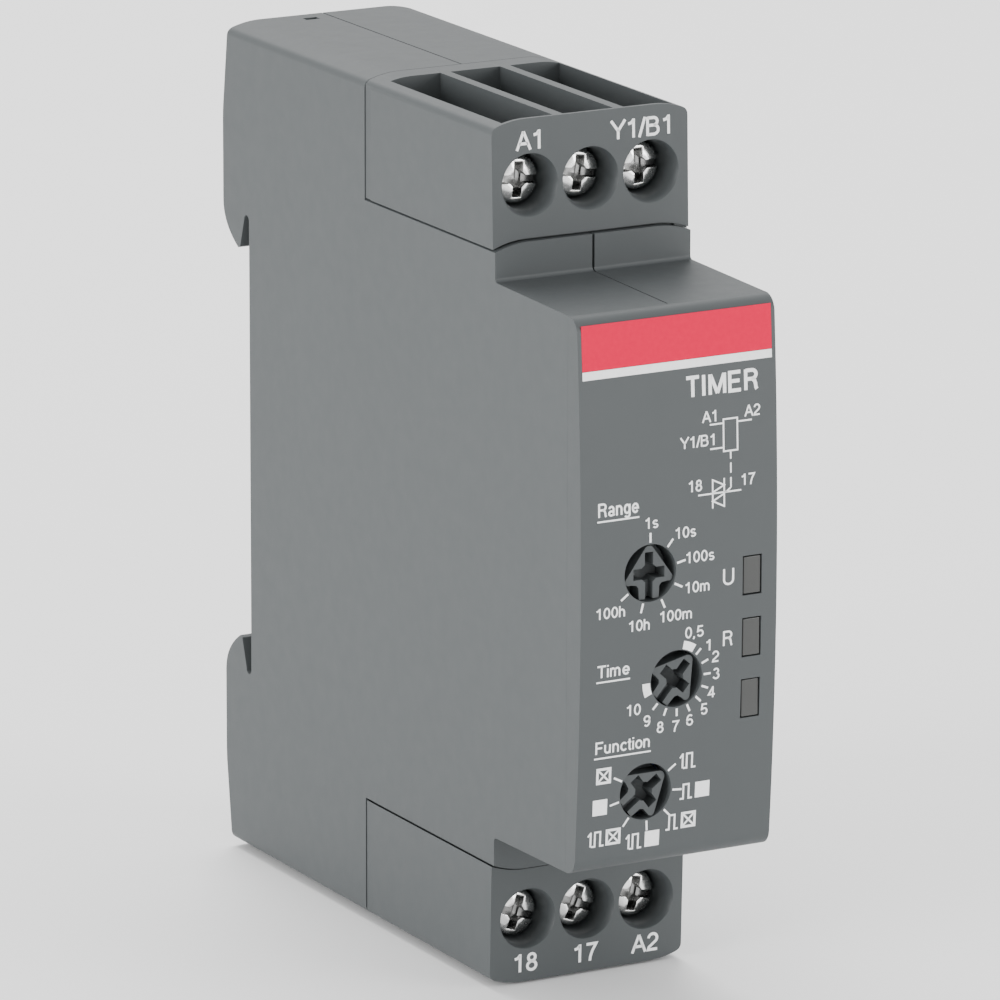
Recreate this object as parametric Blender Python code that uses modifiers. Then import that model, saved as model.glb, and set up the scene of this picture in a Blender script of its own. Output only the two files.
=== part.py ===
"""One-module DIN rail timer: +Z up, front facing -Y, origin on the rail seat, sizes in mm * MM."""
import math

import bmesh
import bpy
from mathutils import Matrix, Vector

MM = 0.001

# ---- driving dimensions, millimetres ------------------------------------------------------
WIDTH = 17.5                  # one module
HEIGHT = 70.0
NOSE_HEIGHT = 44.8
FRONT_Y = -55.5               # crown of the front plate
FRONT_BULGE = 0.75            # fall of the front plate from its crown to BULGE_Z
BULGE_Z = 21.0
PLATE_REAR_Y = -53.3
NECK_Y = -41.9
CAP_FRONT_Y = -41.4
CAP_LEAN = 0.25               # how far the foot of a cap front stands forward of CAP_FRONT_Y
CAP_REAR_Y = -20.3
CAP_SEAM_Z = 25.6             # lowest point of the top cap, at mid width
FOOT_Y = 4.6                  # rearmost face of the two feet
WALL = 1.2
SEAM = 0.2                    # gap between mouldings that meet
CLEAR = 0.3                   # gap between a piece and what carries it
CROWN_DROP = 0.6              # how far the top falls away at the side faces
CROWN_RUN = 3.0               # width of the band that falls away

SLOT_END_Z = 19.5             # rail slots of the feet
HOOK_TIP_Z = 16.5
SLOT_WIDTH = 0.85
SLOT_MOUTH = 1.6

POLE_PITCH = 5.4
POLES = (-POLE_PITCH, 0.0, POLE_PITCH)
SCREW_Z = 29.8
SCREW_FACE_Y = -39.3
HEAD_RADIUS = 1.95
HEAD_REAR_Y = -37.6
SHANK_RADIUS = 1.35
SHANK_END_Y = -31.4
CAGE_WIDTH = 4.1
CAGE_SIDE = 0.45
CAGE_PLATE = 1.6
CLAMP_PLATE = 1.0
CAGE_DEPTH_Z = 4.6
CAGE_FRONT_Y = -34.0
CAGE_REAR_Y = -25.4
ENTRY_WIDTH = 4.5

KNOBS = {                     # x, z, rest angle clockwise from straight up
    "range_knob": (-2.6, 1.6, 0.0),
    "time_knob": (-0.15, -7.2, 41.0),
    "function_knob": (-2.65, -16.05, 54.0),
}
KNOB_RADIUS = 2.15
KNOB_HOLE_RADIUS = 2.4
WINDOW_X = 6.53
WINDOW_SIZE = (1.52, 2.98)
WINDOWS = {"indicator_window_upper": 0.31, "indicator_window_middle": -4.68, "indicator_window_lower": -9.64}

SPRING_Z = (-29.5, -20.3)
SPRING_TURNS = 6
SPRING_RADIUS = 1.1
SPRING_WIRE = 0.2

COLORS = {                    # base colour, roughness, metallic
    "grey_plastic": ((0.17, 0.18, 0.18), 0.55, 0.0),
    "knob_plastic": ((0.14, 0.147, 0.149), 0.5, 0.0),
    "window_plastic": ((0.16, 0.15, 0.15), 0.25, 0.0),
    "nickel": ((0.75, 0.74, 0.70), 0.25, 1.0),
    "zinc_steel": ((0.55, 0.56, 0.57), 0.4, 1.0),
    "spring_steel": ((0.45, 0.45, 0.46), 0.3, 1.0),
    "board_green": ((0.03, 0.14, 0.06), 0.45, 0.0),
    "component_black": ((0.02, 0.02, 0.02), 0.5, 0.0),
    "component_blue": ((0.03, 0.09, 0.30), 0.45, 0.0),
    "component_sleeve": ((0.06, 0.08, 0.20), 0.35, 0.0),
    "led_clear": ((0.75, 0.78, 0.75), 0.1, 0.0),
}


# ---- scene and materials ------------------------------------------------------------------
def clear_scene():
    for item in list(bpy.data.objects):
        bpy.data.objects.remove(item, do_unlink=True)


def new_collection(name):
    collection = bpy.data.collections.new(name)
    bpy.context.scene.collection.children.link(collection)
    return collection


def material(key):
    found = bpy.data.materials.get(key)
    if found:
        return found
    color, roughness, metallic = COLORS[key]
    made = bpy.data.materials.new(key)
    made.use_nodes = True
    shader = made.node_tree.nodes["Principled BSDF"]
    shader.inputs["Base Color"].default_value = (*color, 1.0)
    shader.inputs["Roughness"].default_value = roughness
    shader.inputs["Metallic"].default_value = metallic
    return made


# ---- shape helpers, all in millimetres ----------------------------------------------------
def finish_mesh(mesh):
    """Weld, point the faces out and keep the mesh."""
    bm = bmesh.new()
    bm.from_mesh(mesh)
    bmesh.ops.remove_doubles(bm, verts=bm.verts, dist=1e-7)
    bmesh.ops.recalc_face_normals(bm, faces=bm.faces)
    bm.to_mesh(mesh)
    bm.free()


def add_part(name, mesh, color, origin=(0, 0, 0), smooth=False):
    """Link a world-space mesh as one named sub-part with its origin where asked."""
    finish_mesh(mesh)
    place = Vector(origin) * MM
    mesh.transform(Matrix.Translation(-place))
    mesh.materials.append(material(color))
    if smooth:
        mesh.shade_smooth()
        mesh.set_sharp_from_angle(angle=math.radians(35))
    obj = bpy.data.objects.new(name, mesh)
    obj.location = place
    PARTS.objects.link(obj)
    return obj


def add_tool(mesh):
    """Link a mesh as a Boolean tool."""
    finish_mesh(mesh)
    obj = bpy.data.objects.new("tool", mesh)
    obj.hide_render = True
    obj.display_type = "WIRE"
    TOOLS.objects.link(obj)
    return obj


def combine(target, mesh, operation):
    modifier = target.modifiers.new(operation.lower(), "BOOLEAN")
    modifier.operation = operation
    modifier.object = add_tool(mesh)


def cut(target, *meshes):
    for mesh in meshes:
        combine(target, mesh, "DIFFERENCE")


def join(target, *meshes):
    for mesh in meshes:
        combine(target, mesh, "UNION")


def weld(obj):
    """Close the hairline splits that a chain of Booleans can leave."""
    modifier = obj.modifiers.new("weld", "WELD")
    modifier.merge_threshold = 0.000001


def soften(obj, width, segments=1):
    bevel = obj.modifiers.new("edges", "BEVEL")
    bevel.width = width * MM
    bevel.segments = segments
    bevel.limit_method = "ANGLE"
    bevel.angle_limit = math.radians(40)


def box(x, y, z):
    """A box from three (low, high) pairs."""
    bm = bmesh.new()
    bmesh.ops.create_cube(bm, size=1.0)
    size = Vector((x[1] - x[0], y[1] - y[0], z[1] - z[0])) * MM
    middle = Vector((x[0] + x[1], y[0] + y[1], z[0] + z[1])) * (MM / 2)
    bmesh.ops.scale(bm, vec=size, verts=bm.verts)
    bmesh.ops.translate(bm, vec=middle, verts=bm.verts)
    mesh = bpy.data.meshes.new("box")
    bm.to_mesh(mesh)
    bm.free()
    return mesh


def cylinder_y(x, z, y, radii, segments=24):
    """A cylinder or cone along Y; y and radii are (front, rear) pairs."""
    bm = bmesh.new()
    depth = (y[1] - y[0]) * MM
    bmesh.ops.create_cone(bm, cap_ends=True, segments=segments, radius1=radii[1] * MM,
                          radius2=radii[0] * MM, depth=depth)
    turn = Matrix.Rotation(math.radians(90), 4, "X")
    middle = Vector((x, (y[0] + y[1]) / 2, z)) * MM
    bmesh.ops.transform(bm, matrix=Matrix.Translation(middle) @ turn, verts=bm.verts)
    mesh = bpy.data.meshes.new("cylinder")
    bm.to_mesh(mesh)
    bm.free()
    return mesh


PLANES = {                    # columns: where the outline's u, v and thickness point
    "YZ": Matrix(((0, 0, 1, 0), (1, 0, 0, 0), (0, 1, 0, 0), (0, 0, 0, 1))),
    "XZ": Matrix(((1, 0, 0, 0), (0, 0, -1, 0), (0, 1, 0, 0), (0, 0, 0, 1))),
}
THICKNESS_AXIS = {"YZ": 0, "XZ": 1}


def slab(plane, points, low, high):
    """A flat outline in the plane, made solid from low to high across it."""
    curve = bpy.data.curves.new("outline", "CURVE")
    curve.dimensions = "2D"
    curve.fill_mode = "BOTH"
    curve.extrude = (high - low) / 2 * MM
    spline = curve.splines.new("POLY")
    spline.points.add(len(points) - 1)
    for point, (u, v) in zip(spline.points, points):
        point.co = (u * MM, v * MM, 0, 1)
    spline.use_cyclic_u = True
    holder = bpy.data.objects.new("outline", curve)
    TOOLS.objects.link(holder)
    depsgraph = bpy.context.evaluated_depsgraph_get()
    mesh = bpy.data.meshes.new_from_object(holder.evaluated_get(depsgraph))
    bpy.data.objects.remove(holder, do_unlink=True)
    shift = [0, 0, 0]
    shift[THICKNESS_AXIS[plane]] = (low + high) / 2 * MM
    mesh.transform(Matrix.Translation(shift) @ PLANES[plane])
    finish_mesh(mesh)
    return mesh


def arc(center, radius, start, end, steps):
    """Points on a circle, angles in degrees counter-clockwise from +u."""
    points = []
    for step in range(steps + 1):
        angle = math.radians(start + (end - start) * step / steps)
        points.append((center[0] + radius * math.cos(angle), center[1] + radius * math.sin(angle)))
    return points


def flip(points):
    """The same outline with v upside down, in reverse order."""
    return [(u, -v) for u, v in reversed(points)]


def both_ways(mesh_maker):
    """Make a shape for the top half and, turned over, for the bottom half."""
    top = mesh_maker()
    bottom = mesh_maker()
    bottom.transform(Matrix.Scale(-1, 4, (0, 0, 1)))
    finish_mesh(bottom)
    return {"top": top, "bottom": bottom}


# ---- shared outlines ----------------------------------------------------------------------
def front_y(z):
    """Y of the bowed front face at a height."""
    return FRONT_Y + FRONT_BULGE * (z / BULGE_Z) ** 2


def crown_line(z_middle, steps=3):
    """The arched line across the width, from left to right."""
    half = WIDTH / 2
    flat = half - CROWN_RUN
    right = []
    for step in range(steps + 1):
        t = step / steps
        right.append((flat + CROWN_RUN * t, z_middle - CROWN_DROP * t * t))
    right[-1] = (half + 0.5, z_middle - CROWN_DROP * (1 + 0.5 / CROWN_RUN) ** 2)
    left = [(-x, z) for x, z in reversed(right)]
    return left + right


def foot_outline():
    """Rear of the upper foot, from the rail face up and round to the top."""
    slot_middle = SLOT_WIDTH / 2
    slot_round = arc((slot_middle, SLOT_END_Z - slot_middle), slot_middle, 180, 0, 4)
    hook = [(SLOT_MOUTH, HOOK_TIP_Z + 0.15), (SLOT_MOUTH + 0.3, HOOK_TIP_Z),
            (3.1, 17.3), (4.0, 18.1), (FOOT_Y, 19.4)]
    return [(0.0, HOOK_TIP_Z + 0.4)] + slot_round + hook + [(FOOT_Y, 27.2), (3.65, HEIGHT / 2)]


def side_outline():
    """The housing seen from the side, without the front plate."""
    nose = NOSE_HEIGHT / 2
    upper = foot_outline() + [(NECK_Y, HEIGHT / 2), (NECK_Y, nose + 0.05),
                              (PLATE_REAR_Y + SEAM, nose - 0.2)]
    return upper + flip(upper)


def cavity_outline():
    """The hollow of the housing seen from the side: the lower foot stays closed."""
    top = HEIGHT / 2 - WALL
    shelf = CAP_SEAM_Z - SEAM - WALL
    nose = NOSE_HEIGHT / 2 - WALL
    cap_wall = CAP_REAR_Y + SEAM + WALL
    neck = NECK_Y + WALL
    front = [(cap_wall, top), (cap_wall, shelf), (neck, shelf), (neck, nose), (PLATE_REAR_Y - 1, nose)]
    upper_foot = [(-WALL, 21.6), (3.1, 21.6), (2.5, top)]
    return upper_foot + front + flip(front) + [(-WALL, -top)]


# ---- housing ------------------------------------------------------------------------------
def housing_half(name, side):
    """side is -1 for the left half and +1 for the right."""
    def span(inner, outer):
        return sorted((side * inner, side * outer))

    seam = SEAM / 2
    half = WIDTH / 2
    shell = add_part(name, slab("YZ", side_outline(), *span(seam, half)), "grey_plastic")
    top_line = crown_line(HEIGHT / 2)
    envelope = top_line + [(x, -z) for x, z in reversed(top_line)]
    combine(shell, slab("XZ", envelope, -70, 10), "INTERSECT")
    pocket_line = crown_line(CAP_SEAM_Z - SEAM)
    pocket = pocket_line + [(half + 1, 40), (-half - 1, 40)]
    pockets = both_ways(lambda: slab("XZ", pocket, -60, CAP_REAR_Y + SEAM))
    cut(shell, pockets["top"], pockets["bottom"])
    cut(shell, slab("YZ", cavity_outline(), *span(-1, half - WALL)))
    shelf_z = (CAP_SEAM_Z - SEAM - WALL - 0.5, CAP_SEAM_Z + 1)
    openings = both_ways(lambda: box(span(-1, half - WALL), (-37.5, -23.5), shelf_z))
    cut(shell, openings["top"], openings["bottom"])
    cut(shell, box((-4.5, 4.5), (-0.15, 3.6), (-40, -13.5)), box((-3.3, 3.3), (3.0, 6.0), (-40, -13.5)))
    rib_ends = span(0.9, half - WALL + 0.4)
    for rib_z in (-15.0, 15.0):
        join(shell, box(rib_ends, (-4.2, -3.2), (rib_z - 2, rib_z + 2)))
        join(shell, box(rib_ends, (-43.2, -42.2), (rib_z - 2, rib_z + 2)))
    join(shell, box(span(seam, 1.3), (-0.6, 2.9), (-30.8, -29.8)))
    return shell


def housing():
    left = housing_half("housing_left", -1)
    right = housing_half("housing_right", 1)
    tongue = [(-WALL, -5.0), (0.0, -5.0), (0.0, 5.0), (-WALL, 5.0)]
    join(left, slab("YZ", tongue, -1.5, 1.8))
    cut(right, box((-1.0, 2.1), (-WALL - 0.5, 0.5), (-5.3, 5.3)))


def front_plate():
    """Convex plate with rounded long ends, three knob holes and three windows."""
    nose = NOSE_HEIGHT / 2 - 0.2
    corner = 1.3
    edge_z = nose - corner
    edge_y = front_y(edge_z)
    steps = 8
    front = []
    for step in range(steps + 1):
        z = edge_z * (1 - 2 * step / steps)
        front.append((front_y(z), z))
    top = arc((edge_y + corner, edge_z), corner, 90, 180, 5)[:-1]
    outline = [(PLATE_REAR_Y, nose)] + top + front + flip(top) + [(PLATE_REAR_Y, -nose)]
    half = WIDTH / 2
    plate = add_part("front_plate", slab("YZ", outline, -half, half), "grey_plastic")
    for x, z, _ in KNOBS.values():
        cut(plate, cylinder_y(x, z, (-57, -52), (KNOB_HOLE_RADIUS, KNOB_HOLE_RADIUS), 32))
    for z in WINDOWS.values():
        reach = [size / 2 + SEAM for size in WINDOW_SIZE]
        cut(plate, box((WINDOW_X - reach[0], WINDOW_X + reach[0]), (-57, -52), (z - reach[1], z + reach[1])))


def indicator_windows():
    for name, z in WINDOWS.items():
        wide, high = [size / 2 for size in WINDOW_SIZE]
        front = front_y(z) + 0.03
        add_part(name, box((WINDOW_X - wide, WINDOW_X + wide), (front, PLATE_REAR_Y), (z - high, z + high)),
                 "window_plastic")


# ---- terminal caps ------------------------------------------------------------------------
def cap_body():
    half = WIDTH / 2
    side = [(CAP_FRONT_Y + 0.2, HEIGHT / 2 + 1), (CAP_FRONT_Y - CAP_LEAN, 20), (CAP_REAR_Y, 20),
            (CAP_REAR_Y, HEIGHT / 2 + 1)]
    return slab("YZ", side, -half, half)


def entry_funnel(x):
    """One wire entry and the chamber below it, open at both ends."""
    outline = [(-40.6, 36), (-40.6, 34.4), (-37.2, 32.9), (-36.6, 32.9), (-36.6, 20), (-23.0, 20),
               (-22.6, 36)]
    return slab("YZ", outline, x - ENTRY_WIDTH / 2, x + ENTRY_WIDTH / 2)


def terminal_cap(name, turned):
    def oriented(mesh):
        if turned:
            mesh.transform(Matrix.Scale(-1, 4, (0, 0, 1)))
            finish_mesh(mesh)
        return mesh

    cap = add_part(name, oriented(cap_body()), "grey_plastic")
    bottom = crown_line(CAP_SEAM_Z)
    envelope = crown_line(HEIGHT / 2) + list(reversed(bottom))
    combine(cap, oriented(slab("XZ", envelope, -50, -10)), "INTERSECT")
    for x in POLES:
        bore = HEAD_RADIUS + 0.25
        cut(cap, oriented(entry_funnel(x)))
        cut(cap, oriented(cylinder_y(x, SCREW_Z, (-43, HEAD_REAR_Y + 0.25), (bore, bore))))
        cut(cap, oriented(cylinder_y(x, SCREW_Z, (-42.4, -40.15), (bore + 0.72, bore - 0.04))))
        cut(cap, oriented(cylinder_y(x, SCREW_Z, (-39, -35), (SHANK_RADIUS + 0.25, SHANK_RADIUS + 0.25), 20)))
    weld(cap)


# ---- terminals ----------------------------------------------------------------------------
def terminal_name(kind, level, index):
    return "{}_{}_{}".format(kind, level, ("left", "middle", "right")[index])


def terminal_screw(name, x, z):
    """Captive screw with a combined slot and cross."""
    head = cylinder_y(x, z, (SCREW_FACE_Y, HEAD_REAR_Y), (HEAD_RADIUS, HEAD_RADIUS))
    screw = add_part(name, head, "nickel", origin=(x, HEAD_REAR_Y, z), smooth=True)
    join(screw, cylinder_y(x, z, (HEAD_REAR_Y - 0.5, SHANK_END_Y), (SHANK_RADIUS, SHANK_RADIUS), 16))
    face = (SCREW_FACE_Y - 1, SCREW_FACE_Y + 0.9)
    cut(screw, box((x - 3, x + 3), (face[0], SCREW_FACE_Y + 0.6), (z - 0.3, z + 0.3)))
    cut(screw, box((x - 0.35, x + 0.35), face, (z - 1.35, z + 1.35)))


def clamp_cage(name, x, z):
    """A frame that the screw draws forward: threaded plate, two sides, clamping plate."""
    half = CAGE_WIDTH / 2
    depth = CAGE_DEPTH_Z / 2
    body = box((x - half, x + half), (CAGE_FRONT_Y, CAGE_REAR_Y), (z - depth, z + depth))
    cage = add_part(name, body, "zinc_steel", origin=(x, CAGE_FRONT_Y, z))
    inner = half - CAGE_SIDE
    wire_way = box((x - inner, x + inner), (CAGE_FRONT_Y + CAGE_PLATE, CAGE_REAR_Y - CLAMP_PLATE), (z - 4, z + 4))
    bore = SHANK_RADIUS + 0.2
    thread = cylinder_y(x, z, (CAGE_FRONT_Y - 1, CAGE_FRONT_Y + 2), (bore, bore), 16)
    cut(cage, wire_way, thread)


def contact_bar(name, index, level):
    """Flat bar from inside the cage to the face of the main board."""
    x = POLES[index]
    half = 1.1
    tip = SCREW_Z + CAGE_DEPTH_Z / 2 + 0.6
    if index == 1:
        outline = [(-half, tip), (-half, 23.0), (0.9, 23.0), (0.9, 20.8), (2.0, 20.8), (2.0, 24.0),
                   (half, 24.0), (half, tip)]
    else:
        toward = -1 if x > 0 else 1
        outer = x - toward * half
        inner = x + toward * half
        foot = -toward * 0.9
        outline = [(outer, tip), (outer, 18.6), (foot, 18.6), (foot, 19.8), (inner, 19.8), (inner, tip)]
    mesh = slab("XZ", outline, -31.1, -30.1)
    if level == "bottom":
        mesh.transform(Matrix.Scale(-1, 4, (0, 0, 1)))
    add_part(name, mesh, "nickel")


def terminals():
    for level, sign in (("top", 1), ("bottom", -1)):
        for index, x in enumerate(POLES):
            terminal_screw(terminal_name("terminal_screw", level, index), x, sign * SCREW_Z)
            clamp_cage(terminal_name("clamp_cage", level, index), x, sign * SCREW_Z)
            contact_bar(terminal_name("contact_bar", level, index), index, level)


# ---- setting knobs ------------------------------------------------------------------------
def arrow_outline():
    """Arrow head with shoulders and a stem, pointing up, about the knob's axis."""
    reach = KNOB_RADIUS - 0.02
    tip = arc((0, 0), reach, 100, 80, 2)
    right = [(reach * math.cos(math.radians(-8)), reach * math.sin(math.radians(-8))),
             (reach * math.cos(math.radians(-20)), reach * math.sin(math.radians(-20))),
             (0.72, -0.62), (0.72, -1.98)]
    left = [(-u, v) for u, v in reversed(right)]
    return tip + right + left


def cross_bars(arm, half_width, y):
    """Two crossing bars for the screwdriver; the upright one runs out through the stem."""
    upright = box((-half_width, half_width), y, (-2.4, arm))
    level = box((-arm, arm), (y[0], y[1] - 0.05), (-half_width, half_width))
    return upright, level


def setting_knobs():
    for name, (x, z, angle) in KNOBS.items():
        front = front_y(z) + 0.25
        base = cylinder_y(x, z, (front + 1.0, PLATE_REAR_Y - 0.1), (KNOB_RADIUS, KNOB_RADIUS), 32)
        knob = add_part(name, base, "knob_plastic", origin=(x, PLATE_REAR_Y, z), smooth=True)
        turn = Matrix.Translation(Vector((x, 0, z)) * MM) @ Matrix.Rotation(math.radians(angle), 4, "Y")
        arrow = slab("XZ", arrow_outline(), front, front + 1.2)
        arrow.transform(turn)
        join(knob, arrow, cylinder_y(x, z, (PLATE_REAR_Y - 0.3, -51.6), (0.9, 0.9), 16))
        for bar in cross_bars(1.25, 0.3, (front - 1, front + 0.8)):
            bar.transform(turn)
            cut(knob, bar)


def knob_carriers():
    names = ("range_switch_body", "time_potentiometer_body", "function_switch_body")
    for name, (x, z, _) in zip(names, KNOBS.values()):
        body = add_part(name, box((x - 3.0, x + 3.0), (-52.9, -51.2), (z - 3.0, z + 3.0)), "component_blue")
        soften(body, 0.4)
        cut(body, cylinder_y(x, z, (-54, -50), (1.2, 1.2), 16))


# ---- rail latch ---------------------------------------------------------------------------
def rail_latch():
    """Sliding foot: its lip holds the lower edge of the rail, a spring pushes it up."""
    lip = [(CLEAR, -34.8), (3.3, -34.8), (3.3, -16.27), (1.9, -14.4), (1.3, -14.4), (1.3, -15.6),
           (CLEAR, -15.6)]
    latch = add_part("rail_latch", slab("YZ", lip, -4.2, 4.2), "grey_plastic", origin=(0, 2, -25))
    rib = [(2.9, -34.8), (4.3, -34.8), (4.3, -17.6), (2.9, -15.8)]
    join(latch, slab("YZ", rib, -3.0, 3.0))
    cut(latch, box((-1.7, 1.7), (-1, 3.2), (-31.1, -20.0)))
    cut(latch, box((-2.2, 2.2), (-1, 6), (-34.0, -32.4)))


def latch_spring():
    """Compression spring with a coil every turn along Z."""
    steps = SPRING_TURNS * 10
    curve = bpy.data.curves.new("latch_spring", "CURVE")
    curve.dimensions = "3D"
    curve.bevel_depth = SPRING_WIRE * MM
    curve.bevel_resolution = 1
    curve.use_fill_caps = True
    spline = curve.splines.new("POLY")
    spline.points.add(steps)
    low = SPRING_Z[0] + SPRING_WIRE
    high = SPRING_Z[1] - SPRING_WIRE
    for step in range(steps + 1):
        angle = 2 * math.pi * SPRING_TURNS * step / steps
        z = low + (high - low) * step / steps
        point = (SPRING_RADIUS * math.cos(angle), 1.6 + SPRING_RADIUS * math.sin(angle), z)
        spline.points[step].co = (*(value * MM for value in point), 1)
    holder = bpy.data.objects.new("spring_path", curve)
    TOOLS.objects.link(holder)
    depsgraph = bpy.context.evaluated_depsgraph_get()
    mesh = bpy.data.meshes.new_from_object(holder.evaluated_get(depsgraph))
    bpy.data.objects.remove(holder, do_unlink=True)
    mesh.materials.clear()
    add_part("latch_spring", mesh, "spring_steel", origin=(0, 1.6, SPRING_Z[0]), smooth=True)


# ---- electronics --------------------------------------------------------------------------
def boards():
    half = [(-2.2, 22.5), (-40.0, 22.5), (-40.0, 20.3), (-49.3, 20.3)]
    add_part("main_board", slab("YZ", half + flip(half), -0.6, 0.6), "board_green")
    add_part("front_board", box((-7.0, 7.0), (-50.9, -49.7), (-20.4, 20.4)), "board_green")
    header = add_part("board_header", box((0.9, 3.4), (-49.4, -43.8), (-6.5, 6.5)), "component_black")
    soften(header, 0.2)


def leds():
    for name, z in (("led_supply", WINDOWS["indicator_window_upper"]),
                    ("led_output", WINDOWS["indicator_window_middle"])):
        dome = add_part(name, box((WINDOW_X - 0.8, WINDOW_X + 0.4), (-52.7, -51.2), (z - 0.8, z + 0.8)), "led_clear")
        soften(dome, 0.15)


def power_parts():
    """Larger components, each standing clear of the board on its own side."""
    boxes = {
        "film_capacitor": ((-6.6, -0.9), (-27.5, -14.5), (1.0, 9.0), "component_blue"),
        "bridge_rectifier": ((-3.6, -0.9), (-38.5, -32.5), (4.0, 10.5), "component_black"),
        "microcontroller": ((0.9, 3.2), (-36.5, -23.5), (-4.0, 4.0), "component_black"),
        "output_triac": ((0.9, 5.3), (-18.5, -8.5), (-11.0, 3.0), "component_black"),
    }
    for name, (x, y, z, color) in boxes.items():
        soften(add_part(name, box(x, y, z), color), 0.35)
    tab = box((3.6, 4.9), (-18.0, -9.0), (2.0, 8.0))
    triac = PARTS.objects["output_triac"]
    join(triac, tab)
    supply = add_part("supply_capacitor", cylinder_y(-4.0, -7.5, (-20.5, -8.0), (3.0, 3.0)), "component_sleeve",
                      smooth=True)
    soften(supply, 0.4)
    resistor = add_part("power_resistor", cylinder_y(-3.0, 14.0, (-32.0, -21.0), (1.8, 1.8), 16), "component_sleeve",
                        smooth=True)
    soften(resistor, 0.5)
    disc = cylinder_y(0, 0, (-1.9, 1.9), (3.6, 3.6))
    disc.transform(Matrix.Translation(Vector((-3.2, -33, -9)) * MM) @ Matrix.Rotation(math.radians(90), 4, "Z"))
    soften(add_part("varistor", disc, "component_blue", smooth=True), 0.6)


clear_scene()
PARTS = new_collection("din_rail_timer")
TOOLS = new_collection("cutters")
housing()
front_plate()
indicator_windows()
terminal_cap("terminal_cap_top", turned=False)
terminal_cap("terminal_cap_bottom", turned=True)
terminals()
setting_knobs()
knob_carriers()
rail_latch()
latch_spring()
boards()
leds()
power_parts()
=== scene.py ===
import math

import bmesh
import bpy
from mathutils import Matrix, Vector


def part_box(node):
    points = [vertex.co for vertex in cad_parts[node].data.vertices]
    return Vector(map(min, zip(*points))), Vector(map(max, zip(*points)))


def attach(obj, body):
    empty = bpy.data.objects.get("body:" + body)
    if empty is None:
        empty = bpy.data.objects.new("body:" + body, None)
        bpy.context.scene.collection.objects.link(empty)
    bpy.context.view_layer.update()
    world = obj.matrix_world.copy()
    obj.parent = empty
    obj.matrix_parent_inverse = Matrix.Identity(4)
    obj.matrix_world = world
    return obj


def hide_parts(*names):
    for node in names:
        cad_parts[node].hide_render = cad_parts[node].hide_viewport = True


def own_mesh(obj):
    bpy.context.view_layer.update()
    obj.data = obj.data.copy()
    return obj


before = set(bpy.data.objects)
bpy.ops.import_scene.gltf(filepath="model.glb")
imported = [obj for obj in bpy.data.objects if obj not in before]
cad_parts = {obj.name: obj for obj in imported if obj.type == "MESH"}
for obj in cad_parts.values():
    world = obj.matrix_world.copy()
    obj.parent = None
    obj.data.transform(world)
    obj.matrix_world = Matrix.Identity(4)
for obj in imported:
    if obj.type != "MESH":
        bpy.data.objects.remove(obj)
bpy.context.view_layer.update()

MM = 0.001


def limits(node):
    """Lowest and highest corner of a CAD node, in millimetres."""
    low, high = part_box(node)
    return Vector(low) / MM, Vector(high) / MM


PLATE_LOW, PLATE_HIGH = limits("front_plate")
CAP_LOW, CAP_HIGH = limits("terminal_cap_top")
HOUSING_HIGH = limits("housing_left")[1]
SCREW_FACE = limits("terminal_screw_top_left")[0].y

# Everything below is in millimetres until add_piece() turns it into metres.
BODY = "case"
HALF_WIDTH = PLATE_HIGH.x
TOP = HOUSING_HIGH.z
FOOT_Y = HOUSING_HIGH.y
PRINT_ROOM = 0.02             # keeps the print on the front plate inside the CAD box
NOSE_FRONT = PLATE_LOW.y + PRINT_ROOM
NOSE_TOP = PLATE_HIGH.z
PLATE_REAR = PLATE_HIGH.y
BULGE = 0.75                  # how far the front plate bows out between its two ends
CAP_CREASE = 0.6              # fall of the arched edge at the side faces
CAP_SEAM = CAP_LOW.z + CAP_CREASE
CAP_FRONT = CAP_LOW.y + 0.25  # the leaning front face of a cap stands about this plane
CAP_REAR = CAP_HIGH.y
NECK_FRONT = -41.75
POLE_PITCH = 5.4
POLES = {"left": -POLE_PITCH, "middle": 0.0, "right": POLE_PITCH}
SCREW_Z = 29.8
PARTING = 0.06                # half the width of a parting line
BEYOND = 1.0                  # how far a cutting tool runs past the face that it cuts
TINY = 1e-6
MERGE_DISTANCE = 1e-4

# ---- mesh helpers


def new_mesh(bm):
    bmesh.ops.recalc_face_normals(bm, faces=bm.faces)
    mesh = bpy.data.meshes.new("mesh")
    bm.to_mesh(mesh)
    bm.free()
    return mesh


def moved(mesh, matrix):
    mesh.transform(matrix)
    if matrix.determinant() < 0:
        mesh.flip_normals()
    return mesh


def turned_over(mesh, yes):
    """Mirror from the top half to the bottom half."""
    return moved(mesh, Matrix.Scale(-1, 4, (0, 0, 1))) if yes else mesh


def block(x, y, z):
    """A box from its (low, high) along each axis."""
    bm = bmesh.new()
    bmesh.ops.create_cube(bm, size=1.0)
    bmesh.ops.scale(bm, vec=(x[1] - x[0], y[1] - y[0], z[1] - z[0]), verts=bm.verts)
    middle = ((x[0] + x[1]) / 2, (y[0] + y[1]) / 2, (z[0] + z[1]) / 2)
    bmesh.ops.translate(bm, vec=middle, verts=bm.verts)
    return new_mesh(bm)


PLANE_AXES = {
    "YZ": ((0, 1, 0), (0, 0, 1), (1, 0, 0)),
    "XZ": ((1, 0, 0), (0, 0, 1), (0, 1, 0)),
}


def prism(plane, outline, low, high):
    """An outline in a plane, drawn out from low to high across it."""
    u_axis, v_axis, w_axis = (Vector(axis) for axis in PLANE_AXES[plane])
    bm = bmesh.new()
    corners = [bm.verts.new(u_axis * u + v_axis * v + w_axis * low) for u, v in outline]
    face = bm.faces.new(corners)
    grown = bmesh.ops.extrude_face_region(bm, geom=[face])
    tip = [item for item in grown["geom"] if isinstance(item, bmesh.types.BMVert)]
    bmesh.ops.translate(bm, vec=w_axis * (high - low), verts=tip)
    return new_mesh(bm)


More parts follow.
